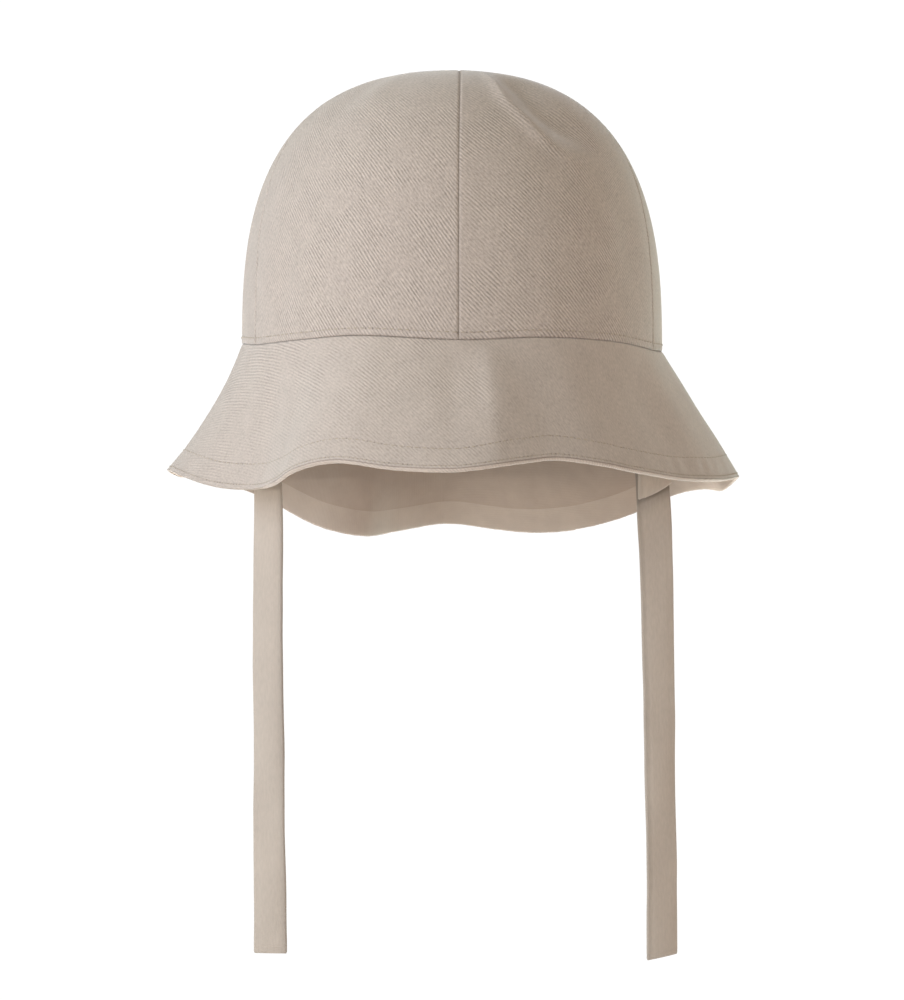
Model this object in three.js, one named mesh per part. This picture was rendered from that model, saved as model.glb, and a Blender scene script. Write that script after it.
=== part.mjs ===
// Baby sun hat: a crown of four cloth panels, a flared wavy brim with a stitched edge facing, and two
// flat ties that hang from the side seams inside the hat.
// Millimetres, +Z up. The front of the hat faces -Y. The origin is the centre of the head opening, at
// the height of the seam between crown and brim, where the hat sits on the head.

import * as THREE from "three";
import { mergeVertices } from "three/addons/utils/BufferGeometryUtils.js";

// Driving sizes of the crown
const headWidth = 147; // across the crown at the brim seam, outside
const headDepth = 168; // front to back at the brim seam, outside
const crownHeight = 95.8; // from the brim seam's side points to the apex
const crownRoundness = 2.7; // exponent of the dome's outline: 2 is an ellipse, more is squarer
const crownWall = 1;
const sideSeamForward = 31.5; // how far the side seams start in front of the hat's middle
const sideSeamSweep = 2.5; // how late the side seams lean back to the apex
const frontSeamLean = 10; // degrees that the front seam has drifted when it reaches the apex
const frontSeamBend = 3.7; // how late the front seam drifts: 1 is evenly, more is near the apex
const frontSeamRidge = 0.7; // height of the soft ridge that the front seam makes
const frontRidgeReach = 14; // degrees over which that ridge fades to each side
const frontRidgeStart = 0.2; // share of the way up at which that ridge has its full height
const seamHoldReach = 0.06; // share of the way up over which the brim seam holds the cloth flat
const dentDepth = 2.4;
const seamWave = 4.2; // how far the brim seam dips below its side points
const seamTilt = 1; // degrees that the brim seam sinks towards +X

// Driving sizes of the brim
const brimWall = 1;
const brimFrontLength = 49.8; // down the slope, at the front and the sides
const brimBackLength = 60.6; // down the slope, over the neck
const facingWidth = 9;
const facingWall = 1;
const facingLip = 1.2; // how far the facing's folded edge shows below the brim's cloth

// Driving sizes of the ties
const tieWidth = 11.8;
const tieThickness = 1.2;
const tieLength = 207.3; // below the brim seam
const tieTuck = 6; // above the brim seam, sewn inside the crown
const tieEndSlant = 2; // how much lower the inner corner of the right tie's end hangs

// Clearances between neighbouring pieces
const seamGap = 0.3;
const tieGap = 0.5;

// Heights of the brim seam round the hat, as shares of seamWave
const seamRows = [
  { azimuth: -180, height: -1 },
  { azimuth: -135, height: -0.8 },
  { azimuth: -90, height: 0 },
  { azimuth: -66, height: -0.66 },
  { azimuth: -45, height: -0.72 },
  { azimuth: -28, height: -0.62 },
  { azimuth: 0, height: -1 },
  { azimuth: 22, height: -0.56 },
  { azimuth: 45, height: -0.36 },
  { azimuth: 68, height: -0.42 },
  { azimuth: 90, height: 0 },
  { azimuth: 135, height: -0.8 },
];

// Folds of the brim: its mean flare from the vertical, how much it opens from seam to edge, both in
// degrees, and how much longer than even its cloth is eased there, in millimetres
const brimRows = [
  { azimuth: -180, flare: 32, curl: 24, ease: 0 },
  { azimuth: -170, flare: 26, curl: 24, ease: 0 },
  { azimuth: -160, flare: 16, curl: 24, ease: 0 },
  { azimuth: -152, flare: 20, curl: 20, ease: 0 },
  { azimuth: -144, flare: 39, curl: 14, ease: 0 },
  { azimuth: -130, flare: 45, curl: 10, ease: 0 },
  { azimuth: -112, flare: 37, curl: 14, ease: 0 },
  { azimuth: -90, flare: 30, curl: 18, ease: 0 },
  { azimuth: -76, flare: 22, curl: 18, ease: 0 },
  { azimuth: -64, flare: 14, curl: 16, ease: 0 },
  { azimuth: -53, flare: 11, curl: 14, ease: 0 },
  { azimuth: -43, flare: 17, curl: 10, ease: 0 },
  { azimuth: -33, flare: 27, curl: 5, ease: 0 },
  { azimuth: -23, flare: 32, curl: 1, ease: -0.4 },
  { azimuth: -12, flare: 34, curl: 2, ease: 2.7 },
  { azimuth: -2, flare: 36, curl: 4, ease: 4.2 },
  { azimuth: 5, flare: 36, curl: 2, ease: 2.7 },
  { azimuth: 11, flare: 33, curl: 2, ease: -0.7 },
  { azimuth: 18, flare: 30, curl: 4, ease: -3.4 },
  { azimuth: 28, flare: 29, curl: 8, ease: -1.7 },
  { azimuth: 38, flare: 26, curl: 14, ease: -0.6 },
  { azimuth: 50, flare: 24.5, curl: 18, ease: 0 },
  { azimuth: 68, flare: 28, curl: 6, ease: 0 },
  { azimuth: 90, flare: 32, curl: -2, ease: 0.6 },
  { azimuth: 101, flare: 30, curl: 2, ease: 1.8 },
  { azimuth: 120, flare: 38, curl: 8, ease: 0 },
  { azimuth: 131, flare: 39, curl: 12, ease: 0 },
  { azimuth: 139, flare: 28, curl: 18, ease: 0 },
  { azimuth: 148, flare: 22, curl: 22, ease: 0 },
  { azimuth: 159, flare: 23, curl: 24, ease: 0 },
  { azimuth: 170, flare: 28, curl: 24, ease: 0 },
];

// Soft dents of the crown: place, reach to each side, and height as a share of dentDepth. Height and
// its reach are shares of the way up from the brim seam to the apex.
const dentRows = [
  { azimuth: -47, height: 0.6, reach: 8, rise: 0.1, depth: -0.45 },
  { azimuth: -33, height: 0.62, reach: 6, rise: 0.12, depth: 0.2 },
  { azimuth: -54, height: 0.1, reach: 6, rise: 0.1, depth: -0.3 },
  { azimuth: 55, height: 0.2, reach: 7, rise: 0.14, depth: -0.35 },
  { azimuth: 150, height: 0.6, reach: 16, rise: 0.2, depth: -0.5 },
  { azimuth: -140, height: 0.35, reach: 18, rise: 0.2, depth: -0.4 },
];

// Soft fold from the crown's top down its right side: where its crest runs, how high it and how deep
// the hollow beyond it are, and how far they reach in degrees
const crestRows = [
  { height: 0.36, azimuth: 37 },
  { height: 0.4, azimuth: 33 },
  { height: 0.43, azimuth: 28 },
  { height: 0.5, azimuth: 22 },
  { height: 0.55, azimuth: 18.5 },
  { height: 0.66, azimuth: 17 },
  { height: 0.8, azimuth: 17 },
];
const crest = { stand: 1.4, aside: 0, before: 3.2, after: 4.5, height: 0.54, reach: 0.15 };
const hollow = { stand: -4.2, aside: 14, before: 8, after: 9, height: 0.57, reach: 0.13 };

// Hang of each tie: down is a share of tieLength, out a share of tieWidth away from the hat's middle,
// and turn is how far the tape has turned from facing forward, in degrees. The first row's turn is
// replaced by the direction of the seam that the tie is sewn to.
const leftTieRows = [
  { down: 0, out: 0, turn: 70 },
  { down: 0.05, out: -0.03, turn: 68 },
  { down: 0.15, out: -0.14, turn: 48 },
  { down: 0.25, out: -0.2, turn: 35 },
  { down: 0.5, out: -0.2, turn: 30 },
  { down: 0.75, out: -0.25, turn: 26 },
  { down: 1, out: -0.3, turn: 16 },
];
const rightTieRows = [
  { down: 0, out: 0, turn: 70 },
  { down: 0.05, out: 0.02, turn: 64 },
  { down: 0.14, out: 0.08, turn: 30 },
  { down: 0.25, out: 0.18, turn: 3 },
  { down: 0.4, out: 0.28, turn: 14 },
  { down: 0.57, out: 0.33, turn: 20 },
  { down: 0.78, out: 0.38, turn: 26 },
  { down: 1, out: 0.41, turn: 24 },
];

// Facet counts
const crownRows = 16;
const frontPanelColumns = 18;
const backPanelColumns = 16;
const brimColumns = 108;
const brimSteps = 6;
const facingSteps = 2;
const tieSteps = 32;

const radians = THREE.MathUtils.degToRad;
const up = new THREE.Vector3(0, 0, 1);

// Smooth curve through the named column of a table whose rows are ordered by key. With a period the
// curve closes on itself.
function smoothAt(rows, key, column, place, period = 0) {
  const count = rows.length;
  const rowAt = (i) => {
    const turns = period ? Math.floor(i / count) : 0;
    const row = rows[period ? i - turns * count : THREE.MathUtils.clamp(i, 0, count - 1)];
    return { at: row[key] + turns * period, value: row[column] };
  };
  const first = rows[0][key];
  const spot = period ? first + THREE.MathUtils.euclideanModulo(place - first, period) : place;
  let i = 0;
  const last = count - (period ? 1 : 2);
  while (i < last && rows[i + 1][key] <= spot) i += 1;
  const [before, from, to, after] = [rowAt(i - 1), rowAt(i), rowAt(i + 1), rowAt(i + 2)];
  const span = to.at - from.at;
  const share = (spot - from.at) / span;
  const leave = ((to.value - before.value) / (to.at - before.at)) * span;
  const arrive = ((after.value - from.value) / (after.at - from.at)) * span;
  const square = share * share;
  const cube = square * share;
  return (
    (2 * cube - 3 * square + 1) * from.value +
    (cube - 2 * square + share) * leave +
    (3 * square - 2 * cube) * to.value +
    (cube - square) * arrive
  );
}

// Point of the seam between crown and brim, at an azimuth in degrees from the front towards +X
function seamPoint(azimuth) {
  const angle = radians(azimuth);
  const x = (headWidth / 2) * Math.sin(angle);
  const y = (-headDepth / 2) * Math.cos(angle);
  const wave = seamWave * smoothAt(seamRows, "azimuth", "height", azimuth, 360);
  return new THREE.Vector3(x, y, wave - x * Math.tan(radians(seamTilt)));
}

// Level direction that points away from the head, square to the seam
function outwardAt(azimuth) {
  const angle = radians(azimuth);
  return new THREE.Vector3(headDepth * Math.sin(angle), -headWidth * Math.cos(angle), 0).normalize();
}

// Level and height of the dome's outline at a rise from 0 at the seam to 1 at the apex, as shares
function domeOutline(rise) {
  const angle = (rise * Math.PI) / 2;
  const across = Math.cos(angle);
  const high = Math.sin(angle);
  const size = (across ** crownRoundness + high ** crownRoundness) ** (-1 / crownRoundness);
  return { across: rise === 1 ? 0 : across * size, high: high * size };
}

function frontSeamAzimuth(rise) {
  return frontSeamLean * rise ** frontSeamBend;
}

function sideSeamAzimuth(rise) {
  const { across, high } = domeOutline(rise);
  const forward = (sideSeamForward / (headDepth / 2)) * (1 - high ** sideSeamSweep);
  return across > 0 ? THREE.MathUtils.radToDeg(Math.acos(forward / across)) : 90;
}

// Height of a fold at a distance from the crest, in degrees
function foldRelief(fold, fromCrest, rise) {
  const side = (fromCrest - fold.aside) / (fromCrest < fold.aside ? fold.before : fold.after);
  const height = (rise - fold.height) / fold.reach;
  return fold.stand * Math.exp(-side * side - height ** 4);
}

// How far the cloth stands out from the plain dome: the ridge of the front seam, the fold and dents
function crownRelief(azimuth, rise) {
  const fromSeam = Math.abs(azimuth - frontSeamAzimuth(rise));
  const ridge = Math.min(1, rise / frontRidgeStart) * (1 - rise);
  let relief = frontSeamRidge * ridge * Math.exp(-fromSeam / frontRidgeReach);
  const lowest = crestRows[0].height;
  const highest = crestRows[crestRows.length - 1].height;
  const along = THREE.MathUtils.clamp(rise, lowest, highest);
  const fromCrest = azimuth - smoothAt(crestRows, "height", "azimuth", along);
  relief += foldRelief(crest, fromCrest, rise) + foldRelief(hollow, fromCrest, rise);
  for (const dent of dentRows) {
    const side = (azimuth - dent.azimuth) / dent.reach;
    const height = (rise - dent.height) / dent.rise;
    relief += dentDepth * dent.depth * Math.exp(-side * side - height * height);
  }
  const seamHold = 1 - Math.exp(-((rise / seamHoldReach) ** 2));
  const apexHold = 1 - rise ** 4;
  return relief * seamHold * apexHold;
}

function crownPoint(azimuth, rise) {
  const angle = radians(azimuth);
  const { across, high } = domeOutline(rise);
  const seam = seamPoint(azimuth);
  const stand = crownRelief(azimuth, rise);
  const point = new THREE.Vector3(
    seam.x * across,
    seam.y * across,
    crownHeight * high + seam.z * (1 - high)
  );
  const facing = new THREE.Vector3(Math.sin(angle) * across, -Math.cos(angle) * across, high);
  return point.addScaledVector(facing.normalize(), stand);
}

// The crown's inner face lies one wall inside its outer one, square to it
function crownInnerPoint(azimuth, rise) {
  if (rise === 1) return crownPoint(azimuth, 1).addScaledVector(up, -crownWall);
  const degree = 1;
  const step = 0.01;
  const side = crownPoint(azimuth + degree, rise).sub(crownPoint(azimuth - degree, rise));
  const climb = crownPoint(azimuth, Math.min(1, rise + step)).sub(
    crownPoint(azimuth, Math.max(0, rise - step))
  );
  const outward = side.cross(climb).normalize();
  if (rise === 0) outward.setZ(0).normalize();
  return crownPoint(azimuth, rise).addScaledVector(outward, -crownWall);
}

// Point of the brim: along is the distance down its slope from the seam, inset the depth under its
// outer face
function brimPoint(azimuth, along, inset) {
  const length = brimLengthAt(azimuth);
  const curl = radians(smoothAt(brimRows, "azimuth", "curl", azimuth, 360));
  const start = radians(smoothAt(brimRows, "azimuth", "flare", azimuth, 360)) - curl / 2;
  const half = (curl * along) / length / 2;
  const chord = along * (Math.abs(half) > 1e-6 ? Math.sin(half) / half : 1);
  const slope = start + 2 * half;
  const run = chord * Math.sin(start + half) - inset * Math.cos(slope);
  const drop = chord * Math.cos(start + half) + inset * Math.sin(slope);
  return seamPoint(azimuth)
    .addScaledVector(outwardAt(azimuth), run)
    .addScaledVector(up, -drop - seamGap);
}

function brimLengthAt(azimuth) {
  const behind = Math.max(0, -Math.cos(radians(azimuth)));
  const even = brimFrontLength + (brimBackLength - brimFrontLength) * behind ** 2;
  return even + smoothAt(brimRows, "azimuth", "ease", azimuth, 360);
}

// Closed body from rings of points: each ring is one section, in order, and the rings either close on
// the first one or are capped at both ends. A section that runs clockwise as seen along the sweep
// gives faces that point out.
function sweptBody(rings, closed) {
  const positions = [];
  const triangle = (a, b, c) => positions.push(...a.toArray(), ...b.toArray(), ...c.toArray());
  const count = rings[0].length;
  const spans = closed ? rings.length : rings.length - 1;
  for (let i = 0; i < spans; i += 1) {
    const here = rings[i];
    const next = rings[(i + 1) % rings.length];
    for (let j = 0; j < count; j += 1) {
      const k = (j + 1) % count;
      triangle(here[j], here[k], next[k]);
      triangle(here[j], next[k], next[j]);
    }
  }
  if (!closed) {
    const [head, tail] = [rings[0], rings[rings.length - 1]];
    for (let j = 1; j < count - 1; j += 1) {
      triangle(head[0], head[j + 1], head[j]);
      triangle(tail[0], tail[j], tail[j + 1]);
    }
  }
  return mergedGeometry(positions);
}

function mergedGeometry(positions) {
  const geometry = new THREE.BufferGeometry();
  geometry.setAttribute("position", new THREE.Float32BufferAttribute(positions, 3));
  const merged = mergeVertices(geometry, 1e-5);
  merged.computeVertexNormals();
  return merged;
}

// One crown panel between two seams, drawn from seam to seam and then set half a gap away from both
function crownPanel(columns, fromSeam, toSeam, awayX, awayY) {
  const outer = [];
  const inner = [];
  for (let row = 0; row <= crownRows; row += 1) {
    const rise = row / crownRows;
    const outerRow = [];
    const innerRow = [];
    for (let column = 0; column <= columns; column += 1) {
      const azimuth = THREE.MathUtils.lerp(fromSeam(rise), toSeam(rise), column / columns);
      outerRow.push(crownPoint(azimuth, rise));
      innerRow.push(crownInnerPoint(azimuth, rise));
    }
    outer.push(outerRow);
    inner.push(innerRow);
  }
  const positions = [];
  const triangle = (a, b, c) => {
    if (a.distanceTo(b) < 1e-6 || b.distanceTo(c) < 1e-6 || a.distanceTo(c) < 1e-6) return;
    positions.push(...a.toArray(), ...b.toArray(), ...c.toArray());
  };
  const quad = (a, b, c, d) => {
    triangle(a, b, c);
    triangle(a, c, d);
  };
  const apexOuter = outer[crownRows][0];
  const apexInner = inner[crownRows][0];
  outer[crownRows].fill(apexOuter);
  inner[crownRows].fill(apexInner);
  for (let row = 0; row < crownRows; row += 1) {
    for (let column = 0; column < columns; column += 1) {
      const [o, p] = [outer[row], outer[row + 1]];
      const [q, r] = [inner[row], inner[row + 1]];
      quad(o[column], o[column + 1], p[column + 1], p[column]);
      quad(q[column + 1], q[column], r[column], r[column + 1]);
    }
    quad(inner[row][0], outer[row][0], outer[row + 1][0], inner[row + 1][0]);
    quad(outer[row][columns], inner[row][columns], inner[row + 1][columns], outer[row + 1][columns]);
  }
  for (let column = 0; column < columns; column += 1) {
    quad(inner[0][column], inner[0][column + 1], outer[0][column + 1], outer[0][column]);
  }
  const geometry = mergedGeometry(positions);
  geometry.translate((awayX * seamGap) / 2, (awayY * seamGap) / 2, 0);
  return geometry;
}

// The brim's section is a strip of cloth; the facing's is a strip under it whose edge folds out
function brimBody() {
  const rings = [];
  for (let column = 0; column < brimColumns; column += 1) {
    const azimuth = -180 + (360 * column) / brimColumns;
    const length = brimLengthAt(azimuth);
    const ring = [];
    for (let i = 0; i <= brimSteps; i += 1) ring.push(brimPoint(azimuth, (length * i) / brimSteps, 0));
    for (let i = brimSteps; i >= 0; i -= 1) {
      ring.push(brimPoint(azimuth, (length * i) / brimSteps, brimWall));
    }
    rings.push(ring);
  }
  return sweptBody(rings, true);
}

function facingBody() {
  const under = brimWall + seamGap;
  const inside = under + facingWall;
  const rings = [];
  for (let column = 0; column < brimColumns; column += 1) {
    const azimuth = -180 + (360 * column) / brimColumns;
    const length = brimLengthAt(azimuth);
    const top = length - facingWidth;
    const ring = [];
    for (let i = 0; i <= facingSteps; i += 1) {
      ring.push(brimPoint(azimuth, top + ((facingWidth + seamGap) * i) / facingSteps, under));
    }
    ring.push(brimPoint(azimuth, length + seamGap, 0));
    ring.push(brimPoint(azimuth, length + facingLip, 0));
    for (let i = facingSteps; i >= 0; i -= 1) {
      ring.push(brimPoint(azimuth, top + ((facingWidth + facingLip) * i) / facingSteps, inside));
    }
    rings.push(ring);
  }
  return sweptBody(rings, true);
}

// A flat tape that starts inside the crown at a side seam and hangs down free. side is 1 at +X.
function tieBody(side, rows, endSlant) {
  const azimuth = side * sideSeamAzimuth(0);
  const outward = outwardAt(azimuth);
  const seamTurn = 90 - THREE.MathUtils.radToDeg(Math.atan2(-outward.y, outward.x * side));
  const inset = Math.max(crownWall, brimWall) + tieGap + tieThickness / 2;
  const sewn = seamPoint(azimuth).addScaledVector(outward, -inset);
  const rings = [];
  for (let i = -1; i <= tieSteps; i += 1) {
    const down = Math.max(0, i / tieSteps);
    const out = smoothAt(rows, "down", "out", down) * tieWidth * side;
    const turn = Math.min(seamTurn, smoothAt(rows, "down", "turn", down));
    const angle = radians(turn) * side;
    const middle = new THREE.Vector3(sewn.x + out, sewn.y, sewn.z - down * tieLength);
    if (i < 0) middle.z += tieTuck;
    const across = new THREE.Vector3(Math.cos(angle), Math.sin(angle), 0);
    const through = new THREE.Vector3(-Math.sin(angle), Math.cos(angle), 0);
    const slant = i === tieSteps ? (endSlant / 2) * side : 0;
    const corner = (a, b) =>
      middle
        .clone()
        .addScaledVector(across, (a * tieWidth) / 2)
        .addScaledVector(through, (b * tieThickness) / 2)
        .addScaledVector(up, a * slant);
    rings.push([corner(-1, -1), corner(-1, 1), corner(1, 1), corner(1, -1)]);
  }
  return sweptBody(rings, false);
}

function cloth(color, roughness) {
  return new THREE.MeshStandardMaterial({ color, roughness, metalness: 0 });
}

function addPiece(parent, name, geometry, material) {
  const mesh = new THREE.Mesh(geometry, material);
  mesh.name = name;
  parent.add(mesh);
}

const twill = 0xc5b9ac;
const tape = 0xc4b8a8;
const hat = new THREE.Group();

const leftSide = (rise) => -sideSeamAzimuth(rise);
const backLeft = () => -180;
const backRight = () => 180;
const panels = [
  ["crown_panel_front_left", frontPanelColumns, leftSide, frontSeamAzimuth, -1, -1],
  ["crown_panel_front_right", frontPanelColumns, frontSeamAzimuth, sideSeamAzimuth, 1, -1],
  ["crown_panel_back_right", backPanelColumns, sideSeamAzimuth, backRight, 1, 1],
  ["crown_panel_back_left", backPanelColumns, backLeft, leftSide, -1, 1],
];
for (const [name, columns, fromSeam, toSeam, awayX, awayY] of panels) {
  addPiece(hat, name, crownPanel(columns, fromSeam, toSeam, awayX, awayY), cloth(twill, 0.9));
}
addPiece(hat, "brim", brimBody(), cloth(twill, 0.9));
addPiece(hat, "brim_facing", facingBody(), cloth(twill, 0.9));
addPiece(hat, "tie_left", tieBody(-1, leftTieRows, 0), cloth(tape, 0.85));
addPiece(hat, "tie_right", tieBody(1, rightTieRows, tieEndSlant), cloth(tape, 0.85));

export default hat;
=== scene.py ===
"""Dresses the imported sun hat: a crown of four cotton twill panels, a flared wavy brim with a stitched
facing, and two flat tapes that hang at the sides. Metres, +Z up, the front of the hat faces -Y, and the
origin is the centre of the head opening at the seam between crown and brim."""

import math

import bpy
import numpy as np
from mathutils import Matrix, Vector


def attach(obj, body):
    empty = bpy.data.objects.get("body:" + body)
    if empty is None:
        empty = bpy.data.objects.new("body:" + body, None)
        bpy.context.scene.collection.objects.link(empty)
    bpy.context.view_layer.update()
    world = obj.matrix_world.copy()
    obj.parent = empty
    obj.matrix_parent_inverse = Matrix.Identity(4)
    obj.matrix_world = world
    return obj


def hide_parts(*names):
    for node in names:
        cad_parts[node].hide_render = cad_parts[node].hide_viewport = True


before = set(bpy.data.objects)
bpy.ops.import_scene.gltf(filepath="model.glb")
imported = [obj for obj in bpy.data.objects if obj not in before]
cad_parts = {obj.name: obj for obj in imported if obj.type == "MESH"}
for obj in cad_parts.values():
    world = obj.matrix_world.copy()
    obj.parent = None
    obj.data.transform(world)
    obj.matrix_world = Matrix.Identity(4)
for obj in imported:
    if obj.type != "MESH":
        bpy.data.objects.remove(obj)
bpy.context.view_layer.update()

bl_info = {
    "name": "Baby sun hat",
    "version": (1, 0, 0),
    "blender": (4, 5, 0),
    "location": "View3D > Sidebar > Sun hat",
    "description": "Builds a baby sun hat of cotton twill with ties from its measurements",
    "category": "Add Mesh",
}

MM = 0.001

# Heights of the brim seam round the hat: azimuth from the front towards +X, share of the seam's wave
SEAM_ROWS = np.array([
    (-180, -1), (-135, -0.8), (-90, 0), (-66, -0.66), (-45, -0.72), (-28, -0.62),
    (0, -1), (22, -0.56), (45, -0.36), (68, -0.42), (90, 0), (135, -0.8),
])

# Folds of the brim: azimuth, mean flare from the vertical, opening from seam to edge, all in degrees,
# and how much the cloth is cut or eased longer than even, in millimetres
BRIM_ROWS = np.array([
    (-180, 32, 24, 0), (-170, 26, 24, 0), (-160, 16, 24, 0), (-152, 20, 20, 0), (-144, 39, 14, 0),
    (-130, 45, 10, 0), (-112, 37, 14, 0), (-90, 30, 18, 0), (-76, 22, 18, 0), (-64, 14, 16, 0),
    (-53, 11, 14, 0), (-43, 17, 10, 0), (-33, 27, 5, 0), (-23, 32, 1, -0.4), (-12, 34, 2, 2.7),
    (-2, 36, 4, 4.2), (5, 36, 2, 2.7), (11, 33, 2, -0.7), (18, 30, 4, -3.4), (28, 29, 8, -1.7),
    (38, 26, 14, -0.6), (50, 24.5, 18, 0), (68, 28, 6, 0), (90, 32, -2, 0.6), (101, 30, 2, 1.8),
    (120, 38, 8, 0), (131, 39, 12, 0), (139, 28, 18, 0), (148, 22, 22, 0), (159, 23, 24, 0),
    (170, 28, 24, 0),
])

# Soft folds pressed into the brim: azimuth, reach to the left and to the right in degrees, middle and
# reach as shares of the way down, how far the fold stands out in millimetres
FOLD_ROWS = np.array([
    (7.5, 3.2, 5.5, 0.42, 0.45, 1.6), (-1.5, 3, 3, 0.42, 0.45, -0.5), (54, 5, 6, 0.45, 0.5, -0.5),
    (176, 9, 9, 0.6, 0.5, 2.8),
])

# Soft dents of the crown: azimuth, height share, reach in degrees, reach in height, share of the depth
DENT_ROWS = np.array([
    (-47, 0.6, 8, 0.1, -0.45), (-33, 0.62, 6, 0.12, 0.2), (-54, 0.1, 6, 0.1, -0.3),
    (55, 0.2, 7, 0.14, -0.35), (150, 0.6, 16, 0.2, -0.5), (-140, 0.35, 18, 0.2, -0.4),
])

# Crest of the soft fold that runs down from the crown's top on its right: height share, azimuth
CREST_ROWS = np.array([(0.36, 37), (0.4, 33), (0.43, 28), (0.5, 22), (0.55, 18.5), (0.66, 17), (0.8, 17)])

# That fold's crest, the pressed line on it, and the hollow beside it: how far it stands out in millimetres,
# degrees aside of the crest, reach to the left and to the right in degrees, middle and reach in height
CREST_PARTS = [(1.4, 0, 3.2, 4.5, 0.54, 0.15), (0.55, 0, 1.3, 1.3, 0.56, 0.16), (-4.2, 14, 8, 9, 0.57, 0.13)]

# The soft ridge of the front seam: height in millimetres, reach in degrees, height share where it is full
RIDGE_HEIGHT, RIDGE_REACH, RIDGE_START = 0.7, 14, 0.2

# Rows of stitches: the crown's above the brim seam, the hem's below the facing's upper edge, the last
# one's above the brim's edge with its pitch
TOPSTITCH_RISE, HEM_INSET, EDGE_ROW, EDGE_PITCH = 2.3 * MM, 1.2 * MM, 0.45 * MM, 1.6 * MM

# The brim is cut from a flat ring with this radius at the seam, and its twill lines slope so in front
RING_RADIUS, BRIM_SLOPE = 100 * MM, 52

# Fineness of the meshes: rows of a crown panel, columns round the brim, rows down each of its faces
PANEL_ROWS, BRIM_COLUMNS, BRIM_DOWN = 112, 760, 44

# Light from all round the studio, and its softly lit panels: name, place, width, height, watts, colour
WORLD_LIGHT, WORLD_TINT = 0.15, (1.0, 0.87, 0.67, 1)
LIGHTS = [
    ("front light", (-1.35, -1.92, 0.5), 1.6, 1.6, 36, (0.8, 0.87, 1.0)),
    ("side light", (-2.22, 0.39, 0.82), 1.6, 1.6, 26.5, (0.86, 0.96, 1.0)),
    ("high light on the left", (-1.45, 0.53, 1.84), 1.6, 1.6, 10, (0.79, 0.93, 1.0)),
    ("high light on the right", (0.885, -1.055, 1.966), 1.6, 1.6, 14.8, (1.0, 0.94, 0.68)),
    ("rim light on the right", (1.73, 1.45, 0.82), 1.6, 1.6, 9, (1.0, 0.84, 0.68)),
    ("low front light", (-0.45, -1.85, -0.085), 0.8, 0.04, 2.9, (1.0, 0.81, 0.59)),
    ("low side light", (-1.6, -1.0, -0.085), 0.8, 0.04, 6.4, (1.0, 0.98, 0.9)),
    ("low reflector on the right", (0.5, 0.5, -0.34), 0.7, 0.7, 5.6, (0.7, 1.0, 0.99)),
    ("low reflector at the side", (0.75, 0.0, -0.34), 0.7, 0.7, 1.7, (1.0, 0.61, 0.62)),
    ("low reflector behind", (0.0, 0.75, -0.34), 0.7, 0.7, 10.8, (1.0, 0.82, 0.66)),
]

# The floor's height and radius, and the camera's aim, distance, degrees above the level and to the left
FLOOR_HEIGHT, FLOOR_RADIUS = -0.4, 2.0
CAMERA_AIM, CAMERA_DISTANCE, CAMERA_RISE, CAMERA_TURN = Vector((0, 0, -0.053)), 1.35, 2.8, 1.5

# Shares of the twill's colour: worn crown, pressed brim, reverse side darker and warmer as painted
# shade of the hat's inside, lip lighter as a painted highlight, facing's inside
CROWN_TINT, BRIM_TINT = (0.985, 0.985, 0.985), (1.01, 1.015, 1.02)
SHADED_REVERSE_TINT, LIP_HIGHLIGHT_TINT, INNER_FACING_TINT = (0.86, 0.82, 0.78), (1.18, 1.17, 1.16), (1.0, 0.98, 0.95)

# Hang of the ties: share of the length down, share of the width outwards, turn from facing forward
LEFT_TIE_ROWS = np.array([
    (0, 0, 70), (0.05, -0.03, 68), (0.15, -0.14, 48), (0.25, -0.2, 35), (0.5, -0.2, 30),
    (0.75, -0.25, 26), (1, -0.3, 16),
])
RIGHT_TIE_ROWS = np.array([
    (0, 0, 70), (0.05, 0.02, 64), (0.14, 0.08, 30), (0.25, 0.18, 3), (0.4, 0.28, 14),
    (0.57, 0.33, 20), (0.78, 0.38, 26), (1, 0.41, 24),
])

# Way of a tie from above the brim seam to its cut end, which the tie's length adds: down and forward in
# millimetres, slant of the fold. The pleated one goes down to its lower fold, back up, and down again.
PLEAT_END, PLEAT_SLANT = 48.9, 0.5
PLAIN_WAY = [(-6, 0, 0), (0, 0, 0), (20, 0, 0), (50, 0, 0)]
PLEATED_WAY = [
    (-6, 0, 0), (0, 0, 0), (12, 0.4, 0), (24, 1.8, 0.1), (34, 3.8, 0.3), (41, 5.0, 0.45),
    (46.0, 5.2, PLEAT_SLANT), (48.0, 5.0, PLEAT_SLANT), (PLEAT_END, 4.4, PLEAT_SLANT),
    (48.6, 3.7, PLEAT_SLANT), (47, 3.2, PLEAT_SLANT), (43, 2.5, 0.4), (39.6, 1.9, 0.25), (38.2, 1.5, 0.2),
    (37.6, 0.9, 0.15), (38.2, 0.3, 0.1), (40, 0.0, 0.05), (44, -0.1, 0), (56, -0.1, 0), (70, 0, 0),
]


def linear(code):
    """The linear colour of an sRGB hex code, as red, green, blue and a full alpha."""
    parts = [int(code[i : i + 2], 16) / 255 for i in (1, 3, 5)]
    return [c / 12.92 if c <= 0.04045 else ((c + 0.055) / 1.055) ** 2.4 for c in parts] + [1.0]


def length(name, description, default):
    return bpy.props.FloatProperty(
        name=name, description=description, default=default, min=0.0, unit="LENGTH", precision=5
    )


def turn(name, description, default):
    return bpy.props.FloatProperty(
        name=name, description=description, default=math.radians(default), unit="ROTATION"
    )


def colour(name, description, code):
    return bpy.props.FloatVectorProperty(
        name=name, description=description, default=linear(code), size=4, subtype="COLOR", min=0, max=1
    )


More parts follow.
